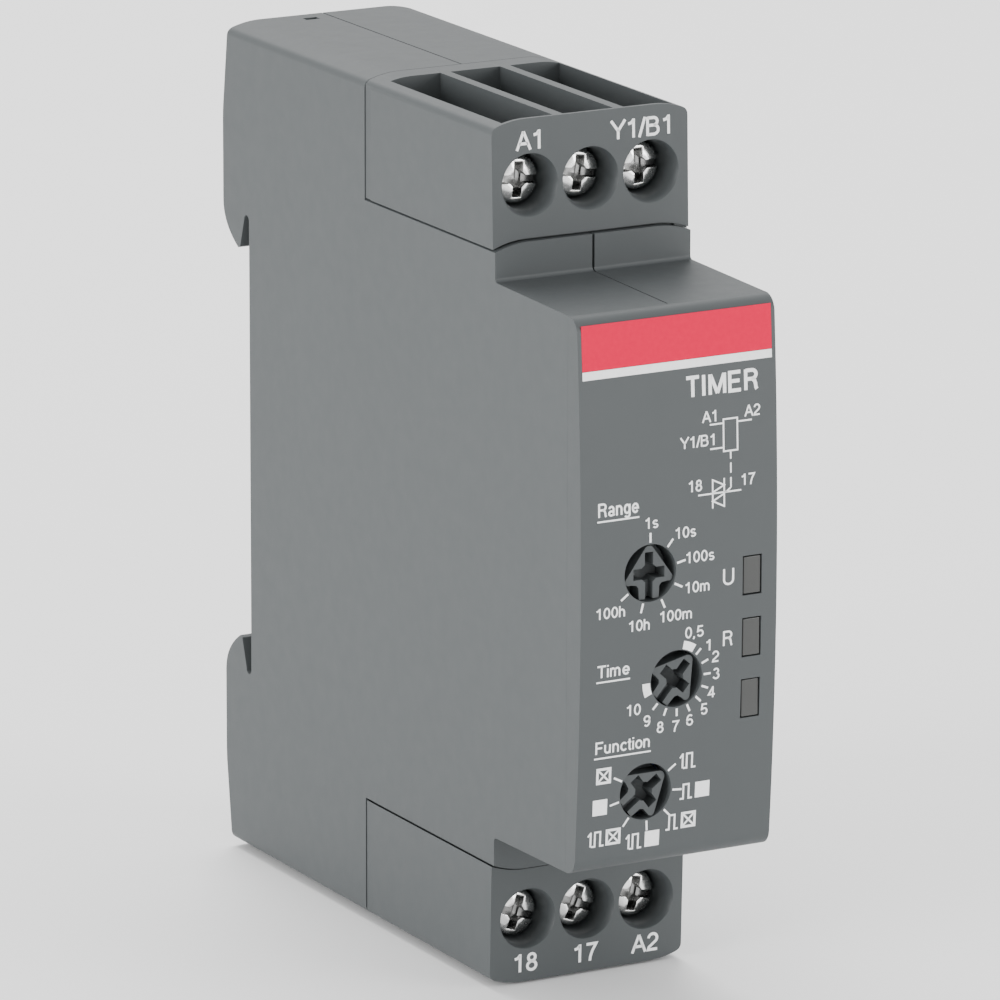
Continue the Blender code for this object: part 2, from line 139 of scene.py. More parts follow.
def lathe_y(profile, x, z, steps):
    """A turned solid: (radius, y) pairs from the front to the rear, about an axis along Y."""
    bm = bmesh.new()
    rings = []
    for radius, y in profile:
        if radius < TINY:
            rings.append([bm.verts.new((x, y, z))])
            continue
        ring = []
        for step in range(steps):
            turn = 2 * math.pi * step / steps
            corner = (x + radius * math.sin(turn), y, z + radius * math.cos(turn))
            ring.append(bm.verts.new(corner))
        rings.append(ring)
    for first, second in zip(rings, rings[1:]):
        for step in range(steps):
            after = (step + 1) % steps
            corners = [first[step % len(first)], first[after % len(first)],
                       second[after % len(second)], second[step % len(second)]]
            unique = list(dict.fromkeys(corners))
            if len(unique) > 2:
                bm.faces.new(unique)
    for ring in (rings[0], rings[-1]):
        if len(ring) > 1:
            bm.faces.new(ring)
    return new_mesh(bm)


def linked(name, data):
    obj = bpy.data.objects.new(name, data)
    bpy.context.scene.collection.objects.link(obj)
    return obj


def applied(obj, tools=()):
    """The mesh of an object with its modifiers; the object and its tools are removed."""
    bpy.context.view_layer.update()
    depsgraph = bpy.context.evaluated_depsgraph_get()
    mesh = bpy.data.meshes.new_from_object(obj.evaluated_get(depsgraph))
    for item in (obj, *tools):
        bpy.data.objects.remove(item, do_unlink=True)
    return mesh


def boolean(mesh, steps):
    """Apply (operation, mesh) steps in order."""
    target = linked("target", mesh)
    tools = []
    for operation, tool_mesh in steps:
        tool = linked("tool", tool_mesh)
        tools.append(tool)
        modifier = target.modifiers.new("step", "BOOLEAN")
        modifier.operation = operation
        modifier.object = tool
        modifier.solver = "EXACT"
    return applied(target, tools)


def cut(mesh, *tools):
    return boolean(mesh, [("DIFFERENCE", tool) for tool in tools])


BEVEL_WEIGHT = "bevel_weight_edge"
FLAT_ANGLE = 0.02             # degrees; faces that meet at less become one


def rounded(mesh, width, rule=None, segments=3, sharp=28.0):
    """Round every sharp edge; rule(ends) gives the share of the width for one edge."""
    bm = bmesh.new()
    bm.from_mesh(mesh)
    bmesh.ops.remove_doubles(bm, verts=bm.verts, dist=MERGE_DISTANCE)
    flat = math.radians(FLAT_ANGLE)
    bmesh.ops.dissolve_limit(bm, angle_limit=flat, verts=bm.verts, edges=bm.edges)
    layers = bm.edges.layers.float
    weights = layers.get(BEVEL_WEIGHT) or layers.new(BEVEL_WEIGHT)
    for edge in bm.edges:
        edge[weights] = 0.0
        if len(edge.link_faces) == 2 and edge.calc_face_angle() > math.radians(sharp):
            edge[weights] = rule([vert.co for vert in edge.verts]) if rule else 1.0
    bm.to_mesh(mesh)
    bm.free()
    obj = linked("target", mesh)
    bevel = obj.modifiers.new("edges", "BEVEL")
    bevel.limit_method = "WEIGHT"
    bevel.width = width
    bevel.segments = segments
    bevel.use_clamp_overlap = True
    bevel.miter_outer = "MITER_ARC"
    return applied(obj)


def quadratic(a, b, c, steps):
    """Points on a curve from a to c, drawn towards b."""
    points = []
    for step in range(steps + 1):
        t = step / steps
        shares = ((1 - t) ** 2, 2 * t * (1 - t), t * t)
        points.append(tuple(sum(s * v for s, v in zip(shares, axis)) for axis in zip(a, b, c)))
    return points


def bow(cx, cz, rx, rz, start, end, steps=10):
    """Points on part of an ellipse, angles counter-clockwise from +x."""
    points = []
    for step in range(steps + 1):
        angle = math.radians(start + (end - start) * step / steps)
        points.append((cx + rx * math.cos(angle), cz + rz * math.sin(angle)))
    return points


def arc(center, radius, start, end, steps):
    return bow(*center, radius, radius, start, end, steps)


def flip(points):
    """The same outline in the bottom half, walked the other way."""
    return [(u, -v) for u, v in reversed(points)]


# ---- finishing a piece


SMOOTH_ANGLE = 35.0           # degrees; sharper edges stay sharp in the shading


def add_piece(name, mesh, body, look, replaces=()):
    """Bring a millimetre mesh to metres and make it one piece, with MATERIALS[look]."""
    mesh.transform(Matrix.Scale(MM, 4))
    mesh.name = name
    mesh.materials.clear()
    mesh.materials.append(MATERIALS[look])
    mesh.shade_smooth()
    mesh.set_sharp_from_angle(angle=math.radians(SMOOTH_ANGLE))
    obj = linked(name, mesh)
    weighted = obj.modifiers.new("normals", "WEIGHTED_NORMAL")
    weighted.keep_sharp = True
    weighted.weight = 100
    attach(obj, body)
    if replaces:
        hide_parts(*replaces)
    return obj


# ---- materials


# Sockets of a colour Mix node, which share their names with those of its other types.
MIX_FACTOR = 0
MIX_FIRST = 6
MIX_SECOND = 7
MIX_RESULT = 2


class Shader:
    """A Principled material with a few short helpers for its nodes."""

    def __init__(self, name, color, roughness, metallic=0.0, **sockets):
        self.material = bpy.data.materials.new(name)
        self.material.use_nodes = True
        self.tree = self.material.node_tree
        self.principled = self.tree.nodes["Principled BSDF"]
        self.principled.inputs["Base Color"].default_value = (*color, 1.0)
        self.principled.inputs["Roughness"].default_value = roughness
        self.principled.inputs["Metallic"].default_value = metallic
        for socket, value in sockets.items():
            self.principled.inputs[socket.replace("_", " ")].default_value = value
        self.color = color
        self.roughness = roughness
        self.place = self.node("ShaderNodeTexCoord").outputs["Object"]

    def node(self, kind, sockets=None, **settings):
        made = self.tree.nodes.new(kind)
        for key, value in settings.items():
            setattr(made, key, value)
        for key, value in (sockets or {}).items():
            made.inputs[key].default_value = value
        return made

    def link(self, source, target):
        self.tree.links.new(source, target)

    def noise(self, scale, detail=3.0, stretch=(1, 1, 1)):
        mapping = self.node("ShaderNodeMapping", {"Scale": stretch})
        self.link(self.place, mapping.inputs["Vector"])
        noise = self.node("ShaderNodeTexNoise", {"Scale": scale, "Detail": detail})
        self.link(mapping.outputs["Vector"], noise.inputs["Vector"])
        return noise.outputs["Fac"]

    def tone(self, share):
        return (*(share * c for c in self.color), 1)

    def vary_color(self, factor, dark, light):
        """Base colour between dark and light times the plain colour."""
        ramp = self.node("ShaderNodeMapRange", {"From Min": 0.3, "From Max": 0.7})
        self.link(factor, ramp.inputs["Value"])
        colors = {MIX_FIRST: self.tone(dark), MIX_SECOND: self.tone(light)}
        mix = self.node("ShaderNodeMix", colors, data_type="RGBA")
        self.link(ramp.outputs["Result"], mix.inputs[MIX_FACTOR])
        self.link(mix.outputs[MIX_RESULT], self.principled.inputs["Base Color"])

    def paint_recess_shade(self, start, end, share):
        """Painted shade in a hollow: darken the base colour to a share of itself from start to
        end, millimetres along Y.
        """
        place = self.node("ShaderNodeSeparateXYZ")
        self.link(self.place, place.inputs["Vector"])
        # The painted shade deepens from start to end along Y.
        depth = self.node("ShaderNodeMapRange", {"From Min": start * MM, "From Max": end * MM})
        self.link(place.outputs["Y"], depth.inputs["Value"])
        plain = self.principled.inputs["Base Color"].links[0].from_socket
        mix = self.node("ShaderNodeMix", {MIX_SECOND: self.tone(share)}, data_type="RGBA")
        self.link(depth.outputs["Result"], mix.inputs[MIX_FACTOR])
        self.link(plain, mix.inputs[MIX_FIRST])
        self.link(mix.outputs[MIX_RESULT], self.principled.inputs["Base Color"])

    def vary_roughness(self, factor, spread):
        ramp = self.node("ShaderNodeMapRange", {
            "From Min": 0.25, "From Max": 0.75,
            "To Min": self.roughness - spread, "To Max": self.roughness + spread})
        self.link(factor, ramp.inputs["Value"])
        self.link(ramp.outputs["Result"], self.principled.inputs["Roughness"])

    def bumps(self, *layers):
        """Each layer is (factor, strength, distance in millimetres)."""
        normal = None
        for factor, strength, distance in layers:
            bump = self.node("ShaderNodeBump", {"Strength": strength, "Distance": distance * MM})
            self.link(factor, bump.inputs["Height"])
            if normal:
                self.link(normal, bump.inputs["Normal"])
            normal = bump.outputs["Normal"]
        self.link(normal, self.principled.inputs["Normal"])


def moulded_plastic(name, color, roughness=0.5, grain=0.35, variation=0.01):
    """Plastic from a spark-eroded mould: fine grain, faint flow marks, uneven sheen."""
    shader = Shader(name, color, roughness, Specular_IOR_Level=0.3)
    fine = shader.noise(scale=9000, detail=2)
    cloudy = shader.noise(scale=160, detail=4, stretch=(1, 1, 0.35))
    shader.vary_color(cloudy, 1 - variation, 1 + variation)
    shader.vary_roughness(shader.noise(scale=700, detail=3), spread=0.03)
    shader.bumps((fine, grain, 0.012), (shader.noise(scale=1500, detail=3), 0.15, 0.02))
    return shader.material


def plated_metal(name, color, roughness=0.22, recess=None):
    """Plated steel with fine tool marks; recess is (start, end, share) for painted shade in
    hollows.
    """
    shader = Shader(name, color, roughness, metallic=1.0)
    marks = shader.noise(scale=4000, detail=4)
    shader.vary_color(shader.noise(scale=900, detail=3), dark=0.9, light=1.05)
    # Painted shade: the base colour darkens inside the hollow.
    if recess:
        shader.paint_recess_shade(*recess)
    shader.vary_roughness(marks, spread=0.08)
    shader.bumps((marks, 0.25, 0.006))
    return shader.material


def printed_ink(name, color, specular=0.5):
    """Pad-printed ink: nearly flat, a touch uneven."""
    shader = Shader(name, color, 0.45, Specular_IOR_Level=specular)
    shader.vary_color(shader.noise(scale=2500, detail=3), dark=0.94, light=1.0)
    shader.bumps((shader.noise(scale=6000, detail=2), 0.2, 0.006))
    return shader.material


def smoked_window():
    shader = Shader("smoked_window", (0.050, 0.0515, 0.050), 0.32, Specular_IOR_Level=0.3,
                    Coat_Weight=0.12, Coat_Roughness=0.15)
    shader.vary_color(shader.noise(scale=500, detail=2), dark=0.96, light=1.04)
    shader.bumps((shader.noise(scale=3000, detail=2), 0.1, 0.01))
    return shader.material


def board_laminate():
    shader = Shader("board_laminate", (0.03, 0.14, 0.06), 0.4)
    weave = shader.node("ShaderNodeTexWave", {"Scale": 600, "Distortion": 1.0},
                        wave_type="BANDS", bands_direction="Z")
    shader.link(shader.place, weave.inputs["Vector"])
    shader.vary_color(shader.noise(scale=400, detail=3), dark=0.85, light=1.1)
    shader.bumps((weave.outputs["Fac"], 0.15, 0.01))
    return shader.material


def grey(share=1.0):
    """The dark grey of the housing, or a share of it."""
    return tuple(share * c for c in (0.060, 0.0665, 0.0685))


# Painted shade in the screw heads' slot and cross: the base colour falls to 0.36 of itself from
# 0.15 to 0.6 mm behind the head's face.
SCREW_RECESS_PAINTED_SHADE = (SCREW_FACE + 0.15, SCREW_FACE + 0.6, 0.36)
MATERIALS = {
    "housing": moulded_plastic("housing_grey", grey()),
    "knob": moulded_plastic("knob_grey", grey(0.9), grain=0.2),
    "latch": moulded_plastic("latch_grey", grey(0.55), grain=0.3),
    "nickel": plated_metal("bright_nickel", (0.83, 0.82, 0.79)),
    # Nickel screws, with painted shade in their slot and cross recess.
    "screw": plated_metal("screw_nickel_painted_shade", (0.90, 0.90, 0.89), recess=SCREW_RECESS_PAINTED_SHADE),
    "zinc": plated_metal("zinc_plate", (0.58, 0.59, 0.60), roughness=0.38),
    "spring": plated_metal("spring_wire", (0.42, 0.42, 0.43), roughness=0.3),
    "white": printed_ink("ink_white", (0.93, 0.94, 0.94)),
    "red": printed_ink("ink_red", (0.69, 0.001, 0.05), specular=0.04),
    "window": smoked_window(),
    "board": board_laminate(),
    "black": moulded_plastic("epoxy_black", (0.02, 0.02, 0.02), grain=0.3, variation=0.1),
    "blue": moulded_plastic("component_blue", (0.03, 0.09, 0.30), variation=0.08),
    "sleeve": moulded_plastic("shrink_sleeve", (0.06, 0.08, 0.20), 0.3, 0.1, 0.08),
    "led": moulded_plastic("clear_epoxy", (0.7, 0.74, 0.7), 0.12, grain=0.05),
}

# ---- housing shells


CROWN_RUN = 3.0               # the arched top starts to fall at this distance from a side face
SIDE_WALL = 1.2
HALVES = (False, True)        # upright for the top of the device, turned over for its bottom


def crown_fall(x):
    """How far the arched top has fallen away at a distance from mid width."""
    return CAP_CREASE * (max(0.0, abs(x) - HALF_WIDTH + CROWN_RUN) / CROWN_RUN) ** 2


def crown(z_middle, low_x=-HALF_WIDTH - 0.6, high_x=HALF_WIDTH + 0.6):
    """The arched line across the width; by default it runs past both side faces."""
    steps = 48
    line_x = [low_x + (high_x - low_x) * step / steps for step in range(steps + 1)]
    return [(x, z_middle - crown_fall(x)) for x in line_x]


def rounded_crown():
    """The arched top line from side face to side face, its ends rolled over."""
    roll = 0.5
    inner = HALF_WIDTH - roll
    corner = TOP - CAP_CREASE
    start = (inner, TOP - crown_fall(inner))
    over = quadratic(start, (HALF_WIDTH, corner), (HALF_WIDTH, corner - roll), 5)
    return [(-x, z) for x, z in reversed(over)] + crown(TOP, -inner, inner)[1:-1] + over


def crown_envelope():
    """The front view of the whole device, drawn out past its front and rear."""
    line = rounded_crown()
    outline = line + [(x, -z) for x, z in reversed(line)]
    return prism("XZ", outline, NOSE_FRONT - 10, FOOT_Y + 10)


def foot_outline():
    """Upper foot in side view: the rail slot, the hook and the tapering back."""
    slot = 0.85
    mouth = 1.6
    end = 19.5
    tip = 16.5
    slot_end = arc((slot / 2, end - slot / 2), slot / 2, 180, 0, 10)
    back = quadratic((mouth + 0.35, tip), (FOOT_Y - 0.05, tip + 1.5), (FOOT_Y, tip + 3.5), 10)
    heel = quadratic((FOOT_Y, 26.4), (FOOT_Y, 27.6), (FOOT_Y - 0.15, 28.6), 6)
    hook = [(mouth, tip + 0.15)] + back + heel
    return [(0.0, tip + 0.4)] + slot_end + hook + [(FOOT_Y - 0.95, TOP)]


def shell_outline():
    """Side view of the housing without its front plate."""
    corner = 0.35
    ledge = NOSE_TOP + 0.25
    ledge_end = (NECK_FRONT - corner, NOSE_TOP + 0.245)
    neck_foot = quadratic((NECK_FRONT, ledge + corner), (NECK_FRONT, ledge), ledge_end, 4)
    upper = foot_outline() + [(NECK_FRONT, TOP)] + neck_foot + [(PLATE_REAR + 0.01, NOSE_TOP)]
    return upper + flip(upper)


def cavity_outline():
    """Side view of the hollow inside the housing."""
    wall = 1.2
    top = TOP - wall
    foot = 21.6
    cap_wall = CAP_REAR + 0.2 + wall
    neck_wall = NECK_FRONT + wall
    shelf = CAP_SEAM - 0.2 - wall
    nose = NOSE_TOP - 1.0
    front = [(cap_wall, top), (cap_wall, shelf), (neck_wall, shelf), (neck_wall, nose),
             (PLATE_REAR - 1, nose)]
    return [(-wall, foot), (3.1, foot), (2.5, top)] + front + flip(front) + [(-wall, -top)]


def shell_edges(ends):
    """Parting edges stay crisp, the outer edges are a little rounder."""
    if all(co.y < PLATE_REAR + 0.2 for co in ends):
        return 0.0
    if all(abs(co.x) < 0.2 for co in ends):
        return 0.22
    under_cap = all(abs(abs(co.z) - CAP_SEAM) < 0.8 and co.y < CAP_REAR + 1 for co in ends)
    behind_cap = all(abs(co.y - CAP_REAR) < 0.3 for co in ends)
    if under_cap or behind_cap:
        return 0.3
    inside = all(abs(co.x) < HALF_WIDTH - 1.0 for co in ends)
    return 0.35 if inside else 1.0


def latch_guide():
    """The guide of the rail latch: the wide space for its lip and the slot for its rib."""
    guide_z = (-40, -13.5)
    return [block((-4.5, 4.5), (-0.15, 3.6), guide_z), block((-3.3, 3.3), (3.0, 6.0), guide_z)]


def housing_shell(name, side):
    """One half of the housing: left for side -1, right for side 1."""
    def span(inner, outer):
        return sorted((side * inner, side * outer))

    mesh = prism("YZ", shell_outline(), *span(PARTING, HALF_WIDTH + BEYOND))
    inside = span(-BEYOND, HALF_WIDTH - SIDE_WALL)
    far = (HALF_WIDTH + 2, TOP + 5)
    cap_room = crown(CAP_SEAM - 0.18) + [far, (-far[0], far[1])]
    shelf_z = (CAP_SEAM - 2.2, CAP_SEAM + BEYOND)
    seam_y = (NECK_FRONT - BEYOND, NECK_FRONT + 0.35)
    seam_z = (NOSE_TOP + 0.5, CAP_SEAM + BEYOND)
    tools = [turned_over(prism("XZ", cap_room, -60, CAP_REAR + 0.08), over) for over in HALVES]
    tools.append(prism("YZ", cavity_outline(), *inside))
    tools += [turned_over(block(inside, (-37.5, -23.5), shelf_z), over) for over in HALVES]
    tools += [turned_over(block((-0.11, 0.11), seam_y, seam_z), over) for over in HALVES]
    tools += latch_guide()
    steps = [("INTERSECT", crown_envelope())] + [("DIFFERENCE", tool) for tool in tools]
    tab_z = 5.0
    if side < 0:
        notch = block((-2.55, -1.3), (1.5, 2.25), (TOP - 2, TOP + BEYOND))
        tab = [(-1.2, -tab_z), (0, -tab_z), (0, tab_z), (-1.2, tab_z)]
        steps += [("DIFFERENCE", notch), ("UNION", prism("YZ", tab, -1.5, 1.8))]
    else:
        tab_room = block((-1.0, 1.9), (-1.7, 0.5), (-tab_z - 0.1, tab_z + 0.1))
        steps.append(("DIFFERENCE", tab_room))
    mesh = rounded(boolean(mesh, steps), 0.2, shell_edges)
    node = name.replace("_shell", "")
    add_piece(name, mesh, BODY, "housing", [node])


# ---- terminal caps


def cap_edges(ends):
    """The edges at the seams and at the wire entries are rounded less than the others."""
    under = all(abs(abs(co.z) - CAP_SEAM) < 0.8 for co in ends)
    rear = all(abs(co.y - CAP_REAR) < 0.1 for co in ends)
    if under or rear:
        return 0.3
    mouth = all(abs(co.x) < HALF_WIDTH - 0.8 and abs(co.z) > TOP - 1.3 for co in ends)
    return 0.4 if mouth else 0.8


def entry_funnel(x):
    """Wire entry of one pole, wide at the top and straight down to the clamp cage."""
    half = 2.25
    front = -40.75
    straight = -36.6
    knee = 32.9
    outline = [(front, TOP + BEYOND), (front, TOP - 0.9), (-37.3, knee), (straight, knee),
               (straight, 20), (-23.0, 20), (-22.5, TOP + BEYOND)]
    return prism("YZ", outline, x - half, x + half)


def screw_bore(x):
    """Stepped bore with a dished mouth that guides the screwdriver."""
    seat = -37.35
    shank = 1.6
    mouth = [(3.2, -0.6), (2.54, -0.02), (2.4, 0.16), (2.22, 0.9)]
    profile = [(radius, CAP_FRONT + depth) for radius, depth in mouth]
    profile += [(2.16, seat), (shank, seat), (shank, -35.0)]
    return lathe_y(profile, x, SCREW_Z, steps=72)


CAP_FOOT_Z = 20.0             # foot of the leaning front face, inside the housing
CAP_FOOT_Y = CAP_FRONT - 0.27
CAP_SLOPE = 0.47              # how far the front leans back from there to its upper end


def cap_shell(name, over):
    """Terminal cap with three wire entries, three screw bores and a tongue in its seam."""
    side = [(CAP_FOOT_Y + CAP_SLOPE, TOP + BEYOND), (CAP_FOOT_Y, CAP_FOOT_Z),
            (CAP_REAR, CAP_FOOT_Z), (CAP_REAR, TOP + BEYOND)]
    mesh = prism("YZ", side, -HALF_WIDTH - BEYOND, HALF_WIDTH + BEYOND)
    bottom = crown(CAP_SEAM, -HALF_WIDTH, HALF_WIDTH)
    steps = [("INTERSECT", prism("XZ", rounded_crown() + list(reversed(bottom)), -50, -10))]
    inset = 0.06
    for start_x, front in ((0.45 - HALF_WIDTH, 0.3), (HALF_WIDTH - 1.2, 0.02)):
        span = (start_x, HALF_WIDTH - inset)
        tongue = crown(CAP_SEAM + 0.3, *span) + list(reversed(crown(CAP_SEAM - 0.16, *span)))
        steps.append(("UNION", prism("XZ", tongue, CAP_FRONT + front, CAP_REAR - 0.5)))
    tools = [entry_funnel(x) for x in POLES.values()] + [screw_bore(x) for x in POLES.values()]
    for side_sign in (-1, 1):
        groove_x = sorted((side_sign * (HALF_WIDTH - inset), side_sign * (HALF_WIDTH + BEYOND)))
        tools.append(block(groove_x, (CAP_REAR - 0.95, CAP_REAR + BEYOND), (CAP_FOOT_Z, 40)))
    steps += [("DIFFERENCE", tool) for tool in tools]
    mesh = turned_over(rounded(boolean(mesh, steps), 0.24, cap_edges), over)
    add_piece(name + "_shell", mesh, BODY, "housing", [name])


# ---- front plate


def front_y(z):
    """Y of the bowed front face at a height."""
    return NOSE_FRONT + BULGE * (z / (NOSE_TOP - 1.3)) ** 2


def plate_outline():
    """Side view of the front plate: bowed, with rounded ends."""
    corner = 1.35
    edge = NOSE_TOP - corner
    steps = 28
    heights = [edge * (1 - 2 * step / steps) for step in range(steps + 1)]
    front = [(front_y(z), z) for z in heights]
    end = arc((front_y(edge) + corner, edge), corner, 90, 180, 10)[:-1]
    return [(PLATE_REAR, NOSE_TOP)] + end + front + flip(end) + [(PLATE_REAR, -NOSE_TOP)]


WINDOWS = ("indicator_window_upper", "indicator_window_middle", "indicator_window_lower")
KNOB_AXES = {
    "range_knob": (-2.6, 1.6),
    "time_knob": (-0.15, -7.2),
    "function_knob": (-2.65, -16.05),
}
KNOB_REST = {"range_knob": 0.0, "time_knob": 41.0, "function_knob": 54.0}   # degrees at rest
KNOB_HOLE = 2.29              # radius
THROUGH_PLATE = (-57, -52)    # Y of tools that cut right through the front plate


def plate_edges(ends):
    """The long sides are rounded fully, the holes hardly, and the joint at the rear not at all."""
    if all(co.y > PLATE_REAR - 0.1 for co in ends):
        return 0.0
    side = all(abs(co.x) > HALF_WIDTH - 0.01 for co in ends)
    return 1.0 if side else 0.15


def front_plate():
    tools = []
    for x, z in KNOB_AXES.values():
        hole = [(KNOB_HOLE, y) for y in THROUGH_PLATE]
        tools.append(lathe_y(hole, x, z, steps=72))
    gap = 0.1
    for node in WINDOWS:
        low, high = limits(node)
        opening_z = (low.z - gap, high.z + gap)
        tools.append(block((low.x - gap, high.x + gap), THROUGH_PLATE, opening_z))
    mesh = cut(prism("YZ", plate_outline(), -HALF_WIDTH, HALF_WIDTH), *tools)
    mesh = rounded(mesh, 0.42, plate_edges, segments=4, sharp=30)
    add_piece("front_plate_shell", mesh, BODY, "housing", ["front_plate"])


def windows():
    for node in WINDOWS:
        low, high = limits(node)
        face = front_y((low.z + high.z) / 2) + 0.05
        lens = rounded(block((low.x, high.x), (face, PLATE_REAR), (low.z, high.z)), 0.08)
        add_piece(node + "_lens", lens, BODY, "window", [node])


# ---- knobs


def arrow_outline(reach):
    """An arrow pointing up: a wide head with rounded shoulders, and a stem."""
    tip = arc((0, reach - 0.5), 0.45, 135, 45, 6)
    shoulder = arc((reach * 0.86 - 0.1, -0.55), 0.32, 40, -110, 8)
    right = shoulder + [(1.12, -0.92), (0.93, -1.15), (0.88, 0.1 - reach)]
    return tip + right + [(-u, v) for u, v in reversed(right)]


def knob(node):
    """Rotor in its hole: a disc with a raised arrow, which has a cross recess and a groove."""
    x, z = KNOB_AXES[node]
    reach = KNOB_HOLE - 0.1
    shaft = 0.9
    face = front_y(z) + 0.22
    before = face - BEYOND
    recess = face + 1.45
    rear = PLATE_REAR - 0.05
    base = lathe_y([(reach - 0.1, face + 1.35), (reach, recess), (reach, rear), (shaft, rear),
                    (shaft, -51.6)], 0, 0, steps=64)
    arrow = prism("XZ", arrow_outline(reach), face, face + 1.6)
    tools = [
        block((-0.33, 0.33), (before, face + 0.75), (-3.0, 0.0)),
        block((-0.37, 0.37), (before, recess), (-0.4, 1.62)),
        block((-1.38, 1.38), (before, recess), (-0.5, 0.38)),
        lathe_y([(0.8, before), (0.72, face + 1.4), (0.3, face + 1.65)], 0, -0.05, steps=24),
    ]
    steps = [("UNION", arrow)] + [("DIFFERENCE", tool) for tool in tools]
    mesh = rounded(boolean(base, steps), 0.1, segments=3, sharp=35)
    turn = Matrix.Rotation(math.radians(KNOB_REST[node]), 4, "Y")
    mesh = moved(mesh, Matrix.Translation((x, 0, z)) @ turn)
    add_piece(node + "_rotor", mesh, node, "knob", [node])


# ---- terminals


SLOT_TURN = {"left": 4.0, "middle": 8.0, "right": -3.0}   # degrees, in the top row
SLOT_TURN_BELOW = 14          # the bottom row stands at this much more


def threaded_shank(start, end):
    """Profile of rings that look like a thread."""
    root = 1.1
    crest = 1.35
    turns = 11
    pitch = (end - start) / turns
    profile = []
    for turn in range(turns):
        profile += [(root, start + pitch * turn), (crest, start + pitch * (turn + 0.5))]
    return profile + [(root, end), (0.0, end)]


def screw(level, side):
    """Cheese head with a slot and a cross recess, rounded edge and threaded shank."""
    node = "terminal_screw_{}_{}".format(level, side)
    low, high = limits(node)
    face = low.y
    before = face - BEYOND
    rim = face + 0.1
    under = face + 1.7
    radius = (high.x - low.x) / 2
    head = [(0.0, face - 0.02), (radius * 0.5, face), (radius * 0.84, rim),
            (radius * 0.95, face + 0.24), (radius, face + 0.45), (radius, face + 1.6),
            (radius - 0.12, under), (1.25, under)]
    mesh = lathe_y(head + threaded_shank(face + 2.1, high.y), 0, 0, steps=48)
    slot = block((-3, 3), (before, face + 0.9), (-0.34, 0.34))
    half_cross = [(before, 1.5), (rim, 1.42), (face + 1.3, 0.9)]
    upright = prism("YZ", half_cross + flip(half_cross), -0.4, 0.4)
    wide, narrow = 0.72, 0.3
    quarter = [(wide, narrow), (narrow, wide)]
    half = quarter + [(-u, v) for u, v in reversed(quarter)]
    core = prism("XZ", half + [(-u, -v) for u, v in half], before, face + 1.2)
    mesh = rounded(cut(mesh, slot, upright, core), 0.045, segments=2, sharp=50)
    slot_turn = SLOT_TURN[side] + (0 if level == "top" else SLOT_TURN_BELOW)
    place = Matrix.Translation(((low.x + high.x) / 2, 0, (low.z + high.z) / 2))
    mesh = moved(mesh, place @ Matrix.Rotation(math.radians(slot_turn), 4, "Y"))
    add_piece(node + "_turned", mesh, node, "screw", [node])


def cage_edges(ends):
    """The outer edges are rounded fully, the short edges at the ribs hardly."""
    return 1.0 if (ends[1] - ends[0]).length > 1.2 else 0.2


def cage(level, side):
    """Clamp cage with rounded corners and a ribbed clamping plate."""
    node = "clamp_cage_{}_{}".format(level, side)
    low, high = limits(node)
    x = (low.x + high.x) / 2
    z = (low.z + high.z) / 2
    wall = 0.45
    plate = high.y - 1.0
    rib_half = 0.15
    opening = block((low.x + wall, high.x - wall), (low.y + 1.6, plate),
                    (low.z - BEYOND, high.z + BEYOND))
    tools = [opening, lathe_y([(1.5, low.y - BEYOND), (1.5, low.y + 2)], x, z, steps=32)]
    for rib in (-1.4, -0.7, 0.0, 0.7, 1.4):
        groove = [(plate - 0.15, z + rib - rib_half), (plate + 0.15, z + rib),
                  (plate - 0.15, z + rib + rib_half)]
        tools.append(prism("YZ", groove, low.x + 0.5, high.x - 0.5))
    mesh = block((low.x, high.x), (low.y, high.y), (low.z, high.z))
    mesh = rounded(cut(mesh, *tools), 0.18, cage_edges, segments=2)
    add_piece(node + "_frame", mesh, node, "zinc", [node])


# ---- print


def oval(cx, cz, rx, rz):
    """A closed stroke: its last point repeats the first."""
    return bow(cx, cz, rx, rz, 90, 450, 20)


